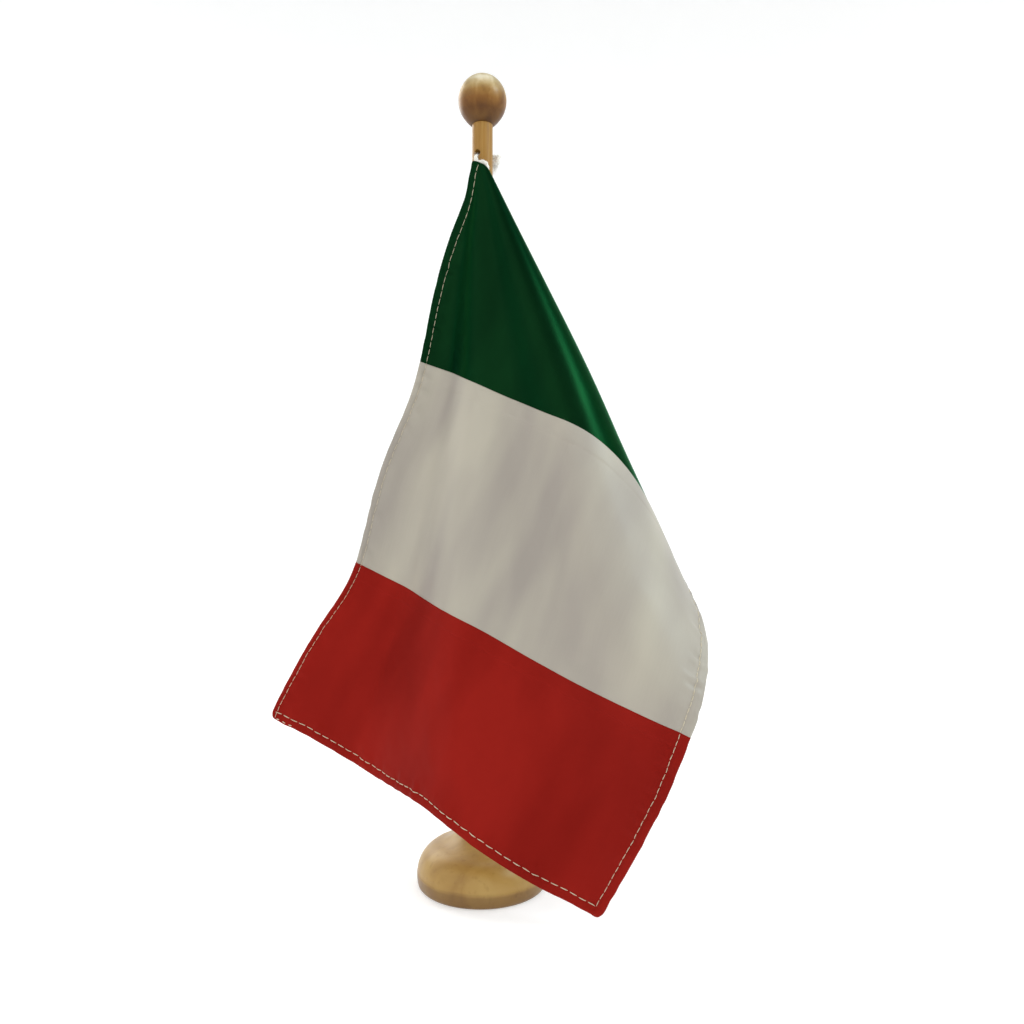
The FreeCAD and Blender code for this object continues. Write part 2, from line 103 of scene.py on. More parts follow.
# Extra lines of that mesh at these distances from an edge and from a seam.
EDGE_LINES = (0.04, 0.12, 0.25, 0.45, 1.4, 1.65, 1.9, 2.15, 2.4, 2.7, 3.0, 3.2, 3.4, 3.7, 4.3, 4.65)
SEAM_LINES = (0.04, 0.12, 0.25, 0.42)
# The flat cloth's corners: place and radius.
CORNERS = ((0, 0, 0.9), (LENGTH, 0, 3.2), (LENGTH, HEIGHT, 2.8), (0, HEIGHT, 1.0))

SETTLE_GRID = 3.0       # step of the mesh that the cloth simulation moves
SETTLE_FRAMES = 14
SETTLE_CAP = 1.5        # how far it may move a point
SETTLE_SPARE = 1.5      # spare cloth between the hems, as small waves in its flat shape
SETTLE_WAVES = 300      # how many such waves

# ------ sizes of the cord

CORD_RADIUS = 0.9
UPPER_HOLE = 270.7
LOWER_HOLE = 112.0
# In behind the upper hole, out at its front mouth, down the sleeve, and back in below.
CORD_ROUTE = [
    (3.1, 5.37, UPPER_HOLE),
    (0.2, 0.35, UPPER_HOLE - 0.5),
    (-1.7, -2.95, UPPER_HOLE - 0.95),
    (-2.2, -3.8, UPPER_HOLE - 1.2),
    (-2.3, -4.7, UPPER_HOLE - 2.6),
    (-1.9, -5.3, 266.0),
    (1.8, -5.6, 266.6),
    (2.0, -5.4, 260.5),
    (1.6, -5.4, 255.4),
    (1.6, -5.4, 127.3),
    (1.6, -5.4, 119.0),
    (-2.75, -4.76, LOWER_HOLE),
    (-1.4, -2.42, LOWER_HOLE),
    (3.1, 5.37, LOWER_HOLE),
]
CORD_PINCH = (-1.9, -3.3, UPPER_HOLE - 1.0)   # where the hole's lip squeezes the cord
KNOT = (4.8, 5.37)      # middle of both knots, from above
KNOT_RISE = 0.9         # how far a knot's middle stands above its hole
KNOT_SIZE = 0.54        # a third of how far its loops reach
KNOT_DEPTH = 0.62       # how far its strands pass over and under each other
KNOT_YARN = 0.84        # radius of the cord inside a knot
HOLE_BACK = np.array([0.5, 0.866, 0])   # out of the back mouth of the cross holes
HOLE_SIDE = np.array([0.866, -0.5, 0])
FIBRE = 0.028           # radius of a loose cotton fibre
TUFT_FIBRES = 150
SLEEVE = (1.6, -5.4)    # the sleeve's axis
SLEEVE_LOOP = 1.25      # radius of the tape's loop round the cord
SLEEVE_TAPE = 0.13      # half the tape's thickness
SLEEVE_WIDTH = 20       # of the flat tape
SLEEVE_TOP = 259.0
SLEEVE_BOTTOM = 121.5
FLAP = 6.0              # how far the tape reaches along the flag
FLAP_NARROW = 3.6       # how much less it reaches above FLAP_TOP
FLAP_TOP = 231.0

# ------ sizes of the wooden pieces

FOOT_RIM = (24.1, 5.4)   # radius and height
FOOT_SHOULDER = (16.3, 15.0)
FOOT_NECK = (5.6, 24.2)
SHOULDER_CURVE = 10.5
NECK_CURVE = 16.1
SOCKET = 3.9   # radius of the pole's socket
SOCKET_FLOOR = 6.0
BALL_RADIUS = 9.0
BALL_HALF_HEIGHT = 9.6
BALL_CENTRE = 291.3
BALL_LOWEST = 285.2   # where the ball meets its short taper

# ------ sizes of the studio

CAMERA = (11.04, -320.9, 137.98)
SENSOR = 36.0
LENS = 30.23
FLOOR_RADIUS = 900   # of its flat part
SWEEP_RADIUS = 600   # of the curve between floor and wall
SWEEP_STEPS = 12
WALL_TOP = 1700
# Each light's place, the height it aims at and its size, in metres; its power and colour.
LIGHTS = [
    ("key", (-0.55, -0.65, 0.80), 0.15, 1.2, 1.5, (1.0, 0.92, 0.80)),
    ("cool", (0.82, -0.28, 0.88), 0.18, 0.36, 4.2, (0.76, 0.94, 1.0)),
    ("back", (-0.60, 0.60, 0.65), 0.12, 0.7, 3.6, (1.0, 0.98, 0.90)),
    ("top", (0.06, 0.04, 1.15), 0.25, 0.7, 4.6, (0.98, 1.0, 0.97)),
]


# ------ mesh helpers

def new_mesh(name, points, faces, slot, body, made):
    """A piece from points in millimetres, with its material. It rides on its body."""
    mesh = bpy.data.meshes.new(name)
    mesh.from_pydata((np.asarray(points, float) * MM).tolist(), [], faces)
    mesh.validate()
    mesh.update()
    mesh.shade_smooth()
    piece = bpy.data.objects.new(name, mesh)
    bpy.context.scene.collection.objects.link(piece)
    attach(piece, body)
    dress(piece, made)
    return piece


def dress(piece, made):
    piece.data.materials.clear()
    piece.data.materials.append(made)


def grid_faces(rows, columns, flip=False):
    faces = []
    for i in range(rows - 1):
        for j in range(columns - 1):
            a = i * columns + j
            quad = (a, a + columns, a + columns + 1, a + 1)
            faces.append(quad[::-1] if flip else quad)
    return faces


def lathe(profile, segments):
    """Points and faces of a turned form. profile is (radius, height) from the bottom up,
    and a radius of 0 closes it."""
    points, faces, rings = [], [], []
    for radius, height in profile:
        if radius == 0:
            rings.append([len(points)] * segments)
            points.append((0, 0, height))
            continue
        rings.append(list(range(len(points), len(points) + segments)))
        for k in range(segments):
            angle = 2 * math.pi * k / segments
            points.append((radius * math.cos(angle), radius * math.sin(angle), height))
    for low, high in zip(rings, rings[1:]):
        for k in range(segments):
            n = (k + 1) % segments
            corners = [low[k], low[n], high[n], high[k]]
            faces.append(tuple(dict.fromkeys(corners)))
    return points, faces


def arc(start, end, radius, bulge, steps):
    """Points of an arc in the (radius, height) plane that bulges to the right (+1) of the
    way from start to end, or to the left (-1), with both ends left out."""
    (x0, y0), (x1, y1) = start, end
    chord = math.hypot(x1 - x0, y1 - y0)
    across = ((y1 - y0) / chord, -(x1 - x0) / chord)
    away = math.sqrt(radius * radius - chord * chord / 4)
    centre = ((x0 + x1) / 2 - bulge * across[0] * away, (y0 + y1) / 2 - bulge * across[1] * away)
    first = math.atan2(y0 - centre[1], x0 - centre[0])
    last = math.atan2(y1 - centre[1], x1 - centre[0])
    turn = (last - first + math.pi) % (2 * math.pi) - math.pi
    points = []
    for i in range(1, steps):
        angle = first + turn * i / steps
        points.append((centre[0] + radius * math.cos(angle), centre[1] + radius * math.sin(angle)))
    return points


def frames(path):
    """Tangent, side and lift directions along a path, turned as little as possible."""
    path = np.asarray(path, float)
    along = np.gradient(path, axis=0)
    along /= np.linalg.norm(along, axis=1)[:, None]
    side = np.zeros_like(along)
    start = np.array([0.0, 0.0, 1.0]) if abs(along[0][2]) < 0.9 else np.array([1.0, 0.0, 0.0])
    for i, direction in enumerate(along):
        start = start - direction * start.dot(direction)
        start /= np.linalg.norm(start)
        side[i] = start
    return along, side, np.cross(along, side)


def tube(path, radii, sides):
    """Points and faces of a round tube with closed ends."""
    path = np.asarray(path, float)
    _, side, lift = frames(path)
    points = []
    for i in range(len(path)):
        for k in range(sides):
            angle = 2 * math.pi * k / sides
            points.append(path[i] + radii[i] * (side[i] * math.cos(angle) + lift[i] * math.sin(angle)))
    return points, tube_faces(len(path), sides)


def tube_faces(rings, sides):
    faces = []
    for i in range(rings - 1):
        for k in range(sides):
            n = (k + 1) % sides
            a, b = i * sides, (i + 1) * sides
            faces.append((a + k, a + n, b + n, b + k))
    faces.append(tuple(range(sides))[::-1])
    faces.append(tuple(range((rings - 1) * sides, rings * sides)))
    return faces


def gather_up(parts):
    """Joins (points, faces) pairs into one."""
    points, faces = [], []
    for some_points, some_faces in parts:
        base = len(points)
        points.extend(some_points)
        faces.extend(tuple(base + i for i in face) for face in some_faces)
    return points, faces


def step(value, low, high):
    """Rises smoothly from 0 at low to 1 at high."""
    t = np.clip((value - low) / (high - low), 0, 1)
    return t * t * (3 - 2 * t)


def ripple(along, pitch, seed, size=400):
    """Smooth random wave along a line, one value between -1 and 1 for each pitch."""
    values = np.random.default_rng(SEED + seed).uniform(-1, 1, size)
    place = np.clip(along / pitch, 0, size - 2)
    low = place.astype(int)
    share = (1 - np.cos((place - low) * math.pi)) / 2
    return values[low] * (1 - share) + values[low + 1] * share


# ------ the drape

def natural_spline(points, count):
    """A natural cubic spline through points, sampled evenly."""
    p = np.array(points, float)
    n = len(p)
    t = np.concatenate([[0], np.cumsum(np.linalg.norm(np.diff(p, axis=0), axis=1))])
    h = np.diff(t)
    a = np.zeros((n, n))
    b = np.zeros_like(p)
    a[0, 0] = a[-1, -1] = 1
    for i in range(1, n - 1):
        a[i, i - 1:i + 2] = h[i - 1], 2 * (h[i - 1] + h[i]), h[i]
        b[i] = 6 * ((p[i + 1] - p[i]) / h[i] - (p[i] - p[i - 1]) / h[i - 1])
    m = np.linalg.solve(a, b)
    s = np.linspace(0, t[-1], count)
    k = np.clip(np.searchsorted(t, s, side="right") - 1, 0, n - 2)
    past = (s - t[k])[:, None]
    hk = h[k][:, None]
    left = hk - past
    bent = (m[k] * left ** 3 + m[k + 1] * past ** 3) / (6 * hk)
    return bent + (p[k] / hk - m[k] * hk / 6) * left + (p[k + 1] / hk - m[k + 1] * hk / 6) * past


def fall_rays():
    rays = natural_spline([(side, fore, -1) for side, fore in FALL], 900)
    rays /= np.linalg.norm(rays, axis=1)[:, None]
    turns = np.arccos(np.clip((rays[1:] * rays[:-1]).sum(1), -1, 1))
    return rays, np.concatenate([[0], np.cumsum(turns)])


RAYS, TURNED = fall_rays()


def fall(u, v):
    """Where a flat point would hang in the plain drape: u from the hoist, v from the top hem."""
    u, v = np.broadcast_arrays(np.asarray(u, float), np.asarray(v, float))
    angle = np.arctan2(v, u + GATHER)
    goal = TURNED[-1] * (1 - angle / (math.pi / 2))
    ray = np.stack([np.interp(goal, TURNED, RAYS[:, k]) for k in range(3)], -1)
    ray /= np.linalg.norm(ray, axis=-1, keepdims=True)
    place = np.array(APEX) + ray * np.hypot(u + GATHER, v)[..., None]
    for at_u, at_v, reach_u, reach_v, move in PULLS:
        share = np.exp(-((u - at_u) / reach_u) ** 2 - ((v - at_v) / reach_v) ** 2)
        place = place + share[..., None] * np.array(move)
    return place


SETTLE_ROWS = int(round(LENGTH / SETTLE_GRID)) + 1
SETTLE_COLUMNS = int(round(HEIGHT / SETTLE_GRID)) + 1
SETTLED = np.zeros((SETTLE_ROWS + 2, SETTLE_COLUMNS + 2, 3))


def spline_shares(t):
    """Shares of four neighbours in a uniform cubic spline."""
    return np.stack([(1 - t) ** 3, 3 * t ** 3 - 6 * t ** 2 + 4,
                     -3 * t ** 3 + 3 * t ** 2 + 3 * t + 1, t ** 3], -1) / 6


def drape(u, v):
    """Where a flat point hangs once the cloth has settled."""
    u, v = np.broadcast_arrays(np.asarray(u, float), np.asarray(v, float))
    at_u = np.clip(u / LENGTH, 0, 1) * (SETTLE_ROWS - 1)
    at_v = np.clip(v / HEIGHT, 0, 1) * (SETTLE_COLUMNS - 1)
    low_u = np.minimum(at_u.astype(int), SETTLE_ROWS - 2)
    low_v = np.minimum(at_v.astype(int), SETTLE_COLUMNS - 2)
    shares_u = spline_shares(at_u - low_u)
    shares_v = spline_shares(at_v - low_v)
    move = 0
    for i in range(4):
        for j in range(4):
            share = shares_u[..., i] * shares_v[..., j]
            move = move + share[..., None] * SETTLED[low_u + i, low_v + j]
    return fall(u, v) + move


def spare_waves(u, v):
    """Small random waves all over the flat cloth."""
    random = np.random.default_rng(SEED)
    waves = np.zeros(u.shape)
    for _ in range(SETTLE_WAVES):
        at_u, at_v, reach = random.uniform(0, LENGTH), random.uniform(0, HEIGHT), random.uniform(5, 11)
        turn = random.uniform(0, math.pi)
        along = (u - at_u) * math.cos(turn) + (v - at_v) * math.sin(turn)
        across = (v - at_v) * math.cos(turn) - (u - at_u) * math.sin(turn)
        waves += random.choice((-1, 1)) * np.exp(-(along / (2.2 * reach)) ** 2 - (across / reach) ** 2)
    return waves


def settle():
    """Cloth simulation: the flag's middle sheet, cut to its flat size with a little spare
    cloth between the tight hems, hangs in the drape and finds its own small waves. The
    sheet is removed afterwards, and drape adds its moves to the fall."""
    u_lines = np.linspace(0, LENGTH, SETTLE_ROWS)
    u, v = np.meshgrid(u_lines, np.linspace(0, HEIGHT, SETTLE_COLUMNS), indexing="ij")
    mesh = bpy.data.meshes.new("settling")
    mesh.from_pydata((fall(u, v).reshape(-1, 3) * MM).tolist(), [], grid_faces(*u.shape))
    sheet = bpy.data.objects.new("settling", mesh)
    bpy.context.scene.collection.objects.link(sheet)
    inside = np.minimum(np.minimum(v, HEIGHT - v), np.minimum(u, LENGTH - u))
    spare = SETTLE_SPARE * spare_waves(u, v) * step(inside, 1, 9)
    sheet.shape_key_add(name="hung")
    cut_out = sheet.shape_key_add(name="cut")
    flat = np.stack([u, spare, -v], -1) * MM
    cut_out.data.foreach_set("co", flat.astype(np.float32).reshape(-1))
    hold = sheet.vertex_groups.new(name="hold")
    seamed = np.minimum(np.abs(u - STRIPE), np.abs(u - 2 * STRIPE)) < SETTLE_GRID * 0.6
    held = np.where(u < 1, 1.0, np.where(inside < 1, 0.42, np.where(seamed, 0.3, 0.0)))
    for number, share in enumerate(held.reshape(-1)):
        hold.add([number], float(share), "REPLACE")
    add_cloth(sheet, cut_out)
    scene = bpy.context.scene
    for frame in range(1, SETTLE_FRAMES + 1):
        scene.frame_set(frame)
    done = sheet.evaluated_get(bpy.context.evaluated_depsgraph_get()).to_mesh()
    places = np.zeros(len(done.vertices) * 3, np.float32)
    done.vertices.foreach_get("co", places)
    move = places.reshape(*u.shape, 3) / MM - fall(u, v)
    far = np.maximum(np.linalg.norm(move, axis=-1, keepdims=True), 1e-9)
    move = move * np.minimum(1, SETTLE_CAP / far)
    SETTLED[1:-1, 1:-1] = move
    SETTLED[0], SETTLED[-1] = SETTLED[1], SETTLED[-2]
    SETTLED[:, 0], SETTLED[:, -1] = SETTLED[:, 1], SETTLED[:, -2]
    bpy.data.objects.remove(sheet)
    scene.frame_set(1)
    print("settled: mean move %.2f mm, most %.2f mm" % (far.mean(), far.max()))


def add_cloth(sheet, cut_out):
    """Light thin cloth, held as its vertex group says."""
    cloth = sheet.modifiers.new("hang", "CLOTH")
    settings = cloth.settings
    settings.quality = 10
    settings.mass = 0.001
    settings.tension_stiffness = 15
    settings.compression_stiffness = 15
    settings.shear_stiffness = 8
    settings.bending_stiffness = 0.1
    settings.air_damping = 2
    settings.vertex_group_mass = "hold"
    settings.pin_stiffness = 1.0
    settings.rest_shape_key = cut_out
    settings.effector_weights.gravity = 0.5
    cloth.collision_settings.use_collision = False


def outward(u, v):
    """The cloth's outer side at a flat point."""
    d = 0.6
    by_u = drape(u + d, v) - drape(u - d, v)
    by_v = drape(u, v + d) - drape(u, v - d)
    out = np.cross(by_u, by_v)
    return out / np.linalg.norm(out, axis=-1, keepdims=True)


def round_corner(u, v, at_u, at_v, radius):
    """Rounds one corner of the flat cloth without moving the lines inside it."""
    in_u = 1 if at_u == 0 else -1
    in_v = 1 if at_v == 0 else -1
    a = 1 - (u - at_u) * in_u / radius
    b = 1 - (v - at_v) * in_v / radius
    near = (a > 0) & (b > 0)
    a, b = np.where(near, a, 0), np.where(near, b, 0)
    a_new, b_new = a * np.sqrt(1 - b * b / 2), b * np.sqrt(1 - a * a / 2)
    return (np.where(near, at_u + in_u * radius * (1 - a_new), u),
            np.where(near, at_v + in_v * radius * (1 - b_new), v))


def cut(u, v):
    """Flat points with the corners rounded and the hems' edges a little uneven."""
    for at_u, at_v, radius in CORNERS:
        u, v = round_corner(u, v, at_u, at_v, radius)
    v = v + 0.16 * ripple(u, PITCH, 1) * np.exp(-(v / 2) ** 2)
    v = v + 0.16 * ripple(u, PITCH, 2) * np.exp(-((HEIGHT - v) / 2) ** 2)
    u = u + 0.14 * ripple(v, PITCH, 3) * np.exp(-((LENGTH - u) / 2) ** 2)
    return u, v


def hem_relief(distance, along, hem, seed):
    """Front and back lift that a sewn hem adds at a distance from the edge."""
    stitched = np.exp(-((distance - hem) / 0.55) ** 2)
    beat = 0.75 + 0.25 * np.cos(2 * math.pi * along / PITCH)
    plump = 0.14 * np.sin(math.pi * np.clip(distance / hem, 0, 1)) ** 0.7
    inside = np.exp(-((distance - hem - 1.2) / 2.2) ** 2)
    outside = np.exp(-((distance - hem + 1.3) / 1.0) ** 2)
    pucker = ripple(along, PITCH * 0.8, seed) * (0.52 * inside + 0.34 * outside)
    pucker = pucker - 0.16 * np.exp(-((distance - hem - 0.6) / 0.9) ** 2)
    front = plump - 0.20 * stitched * beat + pucker
    folded = 1 - step(distance, HEM_FOLD - 0.2, HEM_FOLD + 0.15)
    back = -HEM_EXTRA * folded + 0.16 * stitched * beat + pucker
    return front, back


def top_hem(u):
    """Width of the top hem, which narrows toward the outer edge."""
    return HEM - TOP_TAPER * u / LENGTH


def reliefs(u, v):
    """Front and back lift of the cloth's two faces off its middle."""
    calm = step(np.hypot(u, v), 8, 40)
    front = np.full(u.shape, CLOTH / 2)
    back = np.full(u.shape, -CLOTH / 2)
    hems = ((v, u, top_hem(u), 11), (HEIGHT - v, u, HEM, 12), (LENGTH - u, v, HEM, 13))
    for distance, along, hem, seed in hems:
        more_front, more_back = hem_relief(distance, along, hem, seed)
        front = front + more_front * calm
        back = back + more_back * calm
    deep = HEM_EXTRA * 1.6
    back = np.maximum(back, -CLOTH / 2 - deep)
    for seam in (STRIPE, 2 * STRIPE):
        past = u - seam
        ridge = 1 - step(past, ALLOWANCE - 0.3, ALLOWANCE + 0.8)
        front = front + rounded(SEAM_STEP, 0, past, 0.6) * ridge
    wave = soft_folds(u, v)
    return front + wave, back + wave


def soft_folds(u, v):
    """Shallow folds that run down from the hung corner, flatter where a seam stiffens them."""
    angle = np.arctan2(v, u + GATHER)
    away = step(np.hypot(u, v), 70, 150)
    inside = step(np.minimum(np.minimum(v, HEIGHT - v), LENGTH - u), 3, 26)
    sewn = sum(np.exp(-((u - seam) / 14) ** 2) for seam in (STRIPE, 2 * STRIPE))
    waves = 1.2 * ripple(angle, 0.13, 81, 40) + 0.35 * ripple(angle, 0.06, 82, 60)
    return away * inside * waves * (1 - 0.75 * sewn)


def rounded(lift, middle, distance, radius):
    """Brings a face's lift round to the middle at an edge."""
    t = 1 - np.clip(distance / radius, 0, 1)
    return middle + (lift - middle) * np.sqrt(np.clip(1 - t * t, 0, 1))


def surface(u, v, side, seams=()):
    """Points of one face of the cloth: side is 1 for the outer face and -1 for the inner."""
    front, back = reliefs(u, v)
    middle = (front + back) / 2
    lift = front if side > 0 else back
    edge = np.minimum(np.minimum(v, HEIGHT - v), np.minimum(u, LENGTH - u))
    lift = rounded(lift, middle, edge, 0.5)
    if side < 0:
        for seam in seams:
            lift = rounded(lift, middle, np.abs(u - seam), 0.22)
    flat_u, flat_v = cut(u, v)
    return drape(flat_u, flat_v) + outward(flat_u, flat_v) * lift[..., None]


def fine_lines(start, end, near_start, near_end):
    """Grid lines from start to end, with extra ones at given distances from each end."""
    lines = set(np.round(np.linspace(start, end, int(round((end - start) / GRID)) + 1), 3))
    for extra in near_start:
        lines.add(round(start + extra, 3))
    for extra in near_end:
        lines.add(round(end - extra, 3))
    kept = []
    for line in sorted(lines):
        if not kept or line - kept[-1] > 0.07:
            kept.append(line)
    kept[-1] = end
    return np.array(kept)


def closed_sheet(u, v, outer, inner):
    """Joins two grids of points, the two faces of a layer of cloth, along its outline."""
    rows, columns = u.shape
    outer, inner = outer.reshape(-1, 3), inner.reshape(-1, 3)
    faces = grid_faces(rows, columns)
    number = np.arange(rows * columns).reshape(rows, columns)
    inner_number = number + rows * columns
    for edge in (np.s_[0, :], np.s_[-1, :], np.s_[:, 0], np.s_[:, -1]):
        inner_number[edge] = number[edge]
    flat = inner_number.reshape(-1)
    for face in grid_faces(rows, columns, flip=True):
        faces.append(tuple(int(flat[i]) for i in face))
    used = sorted(set(int(i) for i in flat) | set(range(rows * columns)))
    renumber = {old: new for new, old in enumerate(used)}
    every = np.concatenate([outer, inner])[used]
    flats = np.stack([np.concatenate([u.reshape(-1)] * 2), np.concatenate([v.reshape(-1)] * 2)], 1)[used]
    faces = [tuple(renumber[i] for i in face) for face in faces]
    return every, faces, flats


def add_flat_map(piece, flats):
    """Stores each point's flat place, in metres, as the UV map that the weave follows."""
    layer = piece.data.uv_layers.new(name="flat")
    corner_points = np.zeros(len(piece.data.loops), int)
    piece.data.loops.foreach_get("vertex_index", corner_points)
    layer.data.foreach_set("uv", (flats[corner_points] * MM).astype(np.float32).reshape(-1))


def make_panel(name, index, slot, made):
    start, end = STRIPE * index, STRIPE * (index + 1)
    first_lines = EDGE_LINES if index == 0 else SEAM_LINES
    last_lines = EDGE_LINES if index == 2 else SEAM_LINES
    if index > 0:
        first_lines = first_lines + (0.8, ALLOWANCE, ALLOWANCE + 0.5, ALLOWANCE + 0.9)
    u_lines = fine_lines(start, end, first_lines, last_lines)
    v_lines = fine_lines(0.0, HEIGHT, EDGE_LINES, EDGE_LINES)
    seams = [s for s in (start, end) if 0 < s < LENGTH]
    u, v = np.meshgrid(u_lines, v_lines, indexing="ij")
    points, faces, flats = closed_sheet(u, v, surface(u, v, 1, seams), surface(u, v, -1, seams))
    piece = new_mesh(name, points, faces, slot, "flag", made)
    add_flat_map(piece, flats)
    return piece


def make_allowance(name, seam, slot, made):
    """The raw edges of a seam, pressed towards the fly on the inside of the flag."""
    u_lines = seam - 0.1 + np.array([0, 0.15, 0.5, 1.2, 2.2, 3.2, 4.2, 5.0, 5.4, ALLOWANCE])
    v_lines = np.linspace(HEM_FOLD - 0.6, HEIGHT - HEM_FOLD + 0.6, 150)
    u, v = np.meshgrid(u_lines, v_lines, indexing="ij")
    across = (u - u_lines[0]) / ALLOWANCE
    u = u + across * 0.25 * ripple(v, 4.0, 31 + int(seam))
    away = outward(u, v)
    base = surface(u, v, -1) - away * 0.03
    round_edge = 1 - np.abs(2 * across - 1) ** 8
    curl = 0.22 * step(across, 0.6, 1.0) * (1 + 0.8 * ripple(v, 5.0, 32 + int(seam)))
    top = base - away * ((0.34 + curl) * round_edge)[..., None]
    points, faces, flats = closed_sheet(u, v, base, top)
    piece = new_mesh(name, points, faces, slot, "flag", made)
    add_flat_map(piece, flats)
    return piece


# ------ stitching

def stitch(start, end, side, width, height, wander, raised=0.0):
    """One stitch between two flat points: it comes up out of the cloth, lies on it and goes
    down again. raised is how much lies between it and the cloth."""
    start, end = np.array(start, float), np.array(end, float)
    across = np.array([-(end - start)[1], (end - start)[0]])
    across /= np.linalg.norm(across)
    t = np.linspace(0, 1, 7)
    flat = start + (end - start) * t[:, None] + across * wander * np.sin(math.pi * t)[:, None]
    flat_u, flat_v = cut(flat[:, 0], flat[:, 1])
    up = outward(flat_u, flat_v) * side
    return stitch_form(surface(flat[:, 0], flat[:, 1], side) + up * raised, up, width, height)


def stitch_form(base, up, width, height):
    """A stitch's mesh along points of a surface with their upward directions."""
    rings, sides = len(base), 6
    t = np.linspace(0, 1, rings)
    along = np.gradient(base, axis=0)
    along /= np.linalg.norm(along, axis=1)[:, None]
    over = np.cross(up, along)
    swell = np.sin(math.pi * (0.06 + 0.88 * t)) ** 0.5
    middle = base + up * (-0.10 + (height + 0.10) * np.sin(math.pi * t) ** 0.6)[:, None]
    points = []
    for i in range(rings):
        for k in range(sides):
            angle = 2 * math.pi * k / sides
            offset = over[i] * width * math.cos(angle) + up[i] * height * math.sin(angle)
            points.append(middle[i] + offset * swell[i])
    return points, tube_faces(rings, sides)


def stitch_line(name, start, end, side, width, gap, pitch, seed, made, raised=0.0):
    """A row of stitches along a straight flat line."""
    height = 0.12
    start, end = np.array(start, float), np.array(end, float)
    total = np.linalg.norm(end - start)
    count = int(round(total / pitch))
    random = np.random.default_rng(SEED + seed)
    direction = (end - start) / total
    across = np.array([-direction[1], direction[0]])
    parts = []
    drift = random.uniform(-0.10, 0.10, count + 1)
    for i in range(count):
        low = start + direction * total * i / count + across * drift[i]
        high = start + direction * (total * (i + 1) / count - gap) + across * drift[i + 1]
        parts.append(stitch(low, high, side, width, height, random.uniform(-0.05, 0.05), raised))
    return new_mesh(name, *gather_up(parts), "stitch_thread", "flag", made)


def make_stitches(made):
    """Every row of stitching, outside and inside."""
    far, low = LENGTH - HEM, HEIGHT - HEM
    rows = [
        ("top_hem", (0.8, top_hem(0.8)), (LENGTH - 0.6, top_hem(LENGTH)), 0.10, 0.10, 2.7),
        ("bottom_hem", (2.0, low), (far, low), 0.12, 0.12, 2.7),
        ("fly_hem", (far, top_hem(far) - 0.6), (far, low + 0.2), 0.17, 0.40, PITCH),
        ("corner_tack", (LENGTH - 0.9, 2.4), (LENGTH - 0.9, 10.2), 0.20, 1.2, 2.6),
    ]
    pieces = {}
    for i, (name, start, end, width, gap, pitch) in enumerate(rows):
        for side, word in ((1, "outer"), (-1, "inner")):
            label = "%s_stitches_%s" % (name, word)
            pieces[label] = stitch_line(
                label, start, end, side, width, gap, pitch, 20 + 2 * i + side, made)
    for i, word in enumerate(("green", "red")):
        seam = STRIPE * (i + 1)
        label = word + "_seam_stitches"
        first, last = (seam + 1.2, HEM_FOLD), (seam + 1.2, HEIGHT - HEM_FOLD)
        pieces[label] = stitch_line(label, first, last, -1, 0.17, 0.12, 2.6, 40 + i, made, raised=0.33)
        label = word + "_overlock"
        pieces[label] = make_overlock(label, seam + ALLOWANCE, 50 + i, made)
    return pieces


def make_overlock(name, edge, seed, made):
    """Zigzag stitches over the raw edge of a seam allowance."""
    random = np.random.default_rng(SEED + seed)
    pitch, width = 1.6, 2.0
    parts = []
    for i in range(int((HEIGHT - 2 * HEM_FOLD) / pitch)):
        low = HEM_FOLD + i * pitch
        out = (edge + 0.1, low + random.uniform(-0.1, 0.1))
        back = (edge - width, low + pitch * 0.35 + random.uniform(-0.1, 0.1))
        on = (edge + 0.1, low + pitch * 0.8)
        parts.append(stitch(out, back, -1, 0.12, 0.09, 0.05, raised=0.42))
        parts.append(stitch(back, on, -1, 0.12, 0.09, -0.05, raised=0.42))
    return new_mesh(name, *gather_up(parts), "stitch_thread", "flag", made)


# ------ cord, knots and sleeve

def route(points):
    """Points along the smooth NURBS curve with the given control points."""
    curve = bpy.data.curves.new("route", "CURVE")
    curve.dimensions = "3D"
    curve.resolution_u = 16
    spline = curve.splines.new("NURBS")
    spline.points.add(len(points) - 1)
    for point, place in zip(spline.points, points):
        point.co = (*(c * MM for c in place), 1)
    spline.order_u = 3
    spline.use_endpoint_u = True
    holder = bpy.data.objects.new("route", curve)
    mesh = bpy.data.meshes.new_from_object(holder)
    path = np.array([tuple(vertex.co) for vertex in mesh.vertices]) / MM
    bpy.data.objects.remove(holder)
    bpy.data.curves.remove(curve)
    bpy.data.meshes.remove(mesh)
    return path


def lengths_along(path):
    return np.concatenate([[0], np.cumsum(np.linalg.norm(np.diff(path, axis=0), axis=1))])


def even(path, distance):
    """The same path with points an even distance apart."""
    lengths = lengths_along(path)
    goal = np.linspace(0, lengths[-1], int(round(lengths[-1] / distance)) + 1)
    return np.stack([np.interp(goal, lengths, path[:, k]) for k in range(3)], -1)


def twisted(path, radius, lay):
    """Three strands laid round each other along a path, one turn in each lay."""
    _, side, lift = frames(path)
    radius = np.broadcast_to(radius, len(path))
    lengths = lengths_along(path)
    parts = []
    for k in range(3):
        angle = (2 * math.pi * (lengths / lay + k / 3))[:, None]
        middle = path + 0.45 * radius[:, None] * (side * np.cos(angle) + lift * np.sin(angle))
        parts.append(tube(middle, radius * 0.56, 8))
    return gather_up(parts)


def fibre(start, direction, length, radius, random):
    """One fine curled fibre."""
    t = np.linspace(0, 1, 6)[:, None]
    bend = random.normal(0, 0.45, 3)
    path = start + (direction * t + bend * t * t) * length
    return tube(path, radius * np.linspace(1, 0.5, 6), 3)


